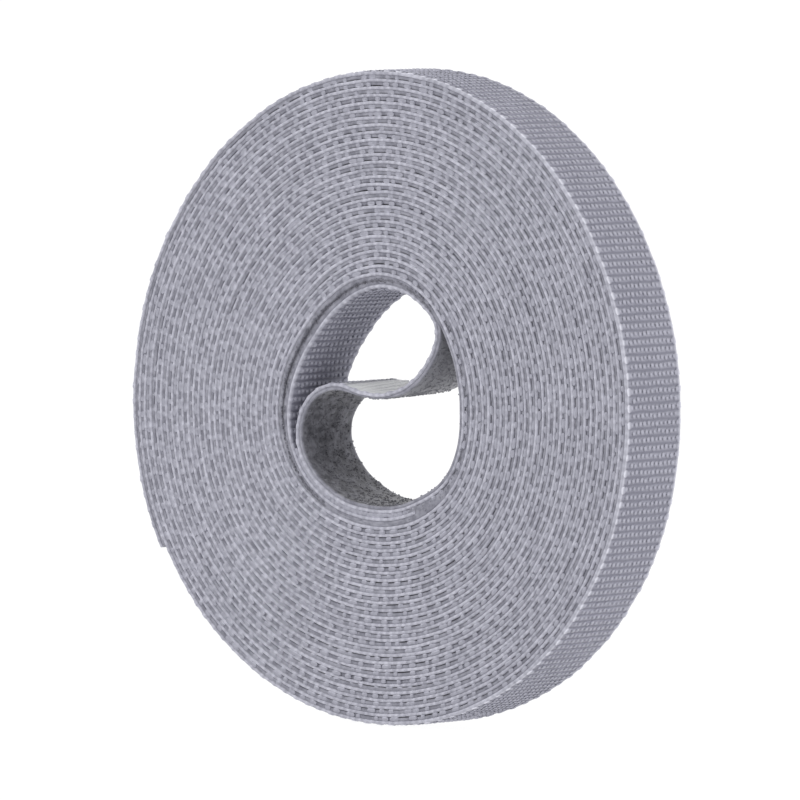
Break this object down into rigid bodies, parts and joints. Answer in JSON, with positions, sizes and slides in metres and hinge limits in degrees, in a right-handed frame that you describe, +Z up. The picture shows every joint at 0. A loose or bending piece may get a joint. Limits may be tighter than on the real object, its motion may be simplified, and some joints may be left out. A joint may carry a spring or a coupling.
{
  "type": "hook and loop tape roll",
  "caption": "Coreless roll of two-ply hook and loop tape, with an S fold across its bore and a free end that peels off, for bundling and tying.",
  "frame": {"origin": "middle of the flat that the roll stands on, straight under its axis", "axes": "+Z up, +Y along the roll's axis from its front face to its back, +X to the right seen from the front"},
  "size_m": [0.0796, 0.01, 0.0792],
  "materials": {
    "hook_ply": "grey woven nylon with rows of hooks and a lighter selvedge",
    "loop_ply": "darker grey brushed nylon fleece"
  },
  "bodies": {
    "roll": {"hook_ply_inner_fold": "hook_ply", "loop_ply_inner_fold": "loop_ply", "hook_ply_winding": "hook_ply", "loop_ply_winding": "loop_ply", "hook_ply_outer_turns": "hook_ply", "loop_ply_outer_turns": "loop_ply"},
    "free_end_1": {"hook_ply_end_1": "hook_ply", "loop_ply_end_1": "loop_ply"},
    "free_end_2": {"hook_ply_end_2": "hook_ply", "loop_ply_end_2": "loop_ply"},
    "free_end_3": {"hook_ply_end_3": "hook_ply", "loop_ply_end_3": "loop_ply"},
    "free_end_4": {"hook_ply_end_4": "hook_ply", "loop_ply_end_4": "loop_ply"}
  },
  "joints": [
    {"name": "peel_1", "type": "hinge", "parent": "roll", "child": "free_end_1", "pos_m": [-0.02815, 0, 0.06681], "axis": [0, 1, 0], "range_deg": [0, 20]},
    {"name": "peel_2", "type": "hinge", "parent": "free_end_1", "child": "free_end_2", "pos_m": [-0.03544, 0, 0.05681], "axis": [0, 1, 0], "range_deg": [0, 20]},
    {"name": "peel_3", "type": "hinge", "parent": "free_end_2", "child": "free_end_3", "pos_m": [-0.03954, 0, 0.04505], "axis": [0, 1, 0], "range_deg": [0, 20]},
    {"name": "peel_4", "type": "hinge", "parent": "free_end_3", "child": "free_end_4", "pos_m": [-0.03981, 0, 0.03247], "axis": [0, 1, 0], "range_deg": [0, 20]}
  ],
  "couplings": [
    {"joint": "peel_2", "follows": "peel_1", "ratio": 1},
    {"joint": "peel_3", "follows": "peel_1", "ratio": 1},
    {"joint": "peel_4", "follows": "peel_1", "ratio": 1}
  ]
}
